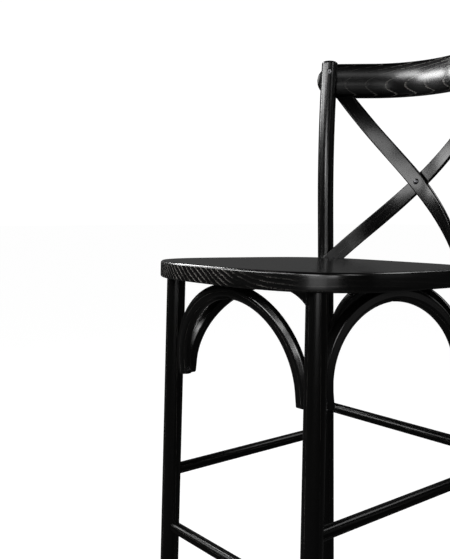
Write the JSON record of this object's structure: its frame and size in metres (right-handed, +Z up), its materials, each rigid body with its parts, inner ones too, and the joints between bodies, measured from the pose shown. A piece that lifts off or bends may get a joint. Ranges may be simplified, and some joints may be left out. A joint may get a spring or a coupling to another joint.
{
  "type": "bar stool",
  "caption": "Bar-height stool in black stained wood with a crossed strip back, a bent crest rail, a rounded square seat, bentwood arches under it and round stretchers.",
  "frame": {"origin": "on the floor, under the middle of the stool's box", "axes": "+Z up, the sitter faces -Y, +X to the sitter's left"},
  "size_m": [0.4526, 0.585, 1.1505],
  "materials": {
    "black_wood": "black stained open-grain hardwood under satin lacquer",
    "black_steel": "blackened steel screws and rivet",
    "black_nylon": "plain black nylon"
  },
  "bodies": {
    "root": {"seat_panel": "black_wood", "front_leg_right": "black_wood", "front_leg_left": "black_wood", "rear_leg_right": "black_wood", "rear_leg_left": "black_wood", "crest_rail": "black_wood", "cross_slat_front": "black_wood", "cross_slat_rear": "black_wood", "arch_front": "black_wood", "arch_back": "black_wood", "arch_right": "black_wood", "arch_left": "black_wood", "foot_rest_front": "black_wood", "stretcher_back": "black_wood", "stretcher_right": "black_wood", "stretcher_left": "black_wood", "cross_rivet": "black_steel", "crest_screw_right": "black_steel", "crest_screw_left": "black_steel", "post_screw_right": "black_steel", "post_screw_left": "black_steel", "arch_front_screw_front_right": "black_steel", "arch_front_screw_front_left": "black_steel", "arch_front_screw_seat": "black_steel", "arch_back_screw_rear_right": "black_steel", "arch_back_screw_rear_left": "black_steel", "arch_back_screw_seat": "black_steel", "arch_right_screw_front_right": "black_steel", "arch_right_screw_rear_right": "black_steel", "arch_right_screw_seat": "black_steel", "arch_left_screw_front_left": "black_steel", "arch_left_screw_rear_left": "black_steel", "arch_left_screw_seat": "black_steel", "foot_glide_front_right": "black_nylon", "foot_glide_front_left": "black_nylon", "foot_glide_rear_right": "black_nylon", "foot_glide_rear_left": "black_nylon"}
  },
  "joints": []
}
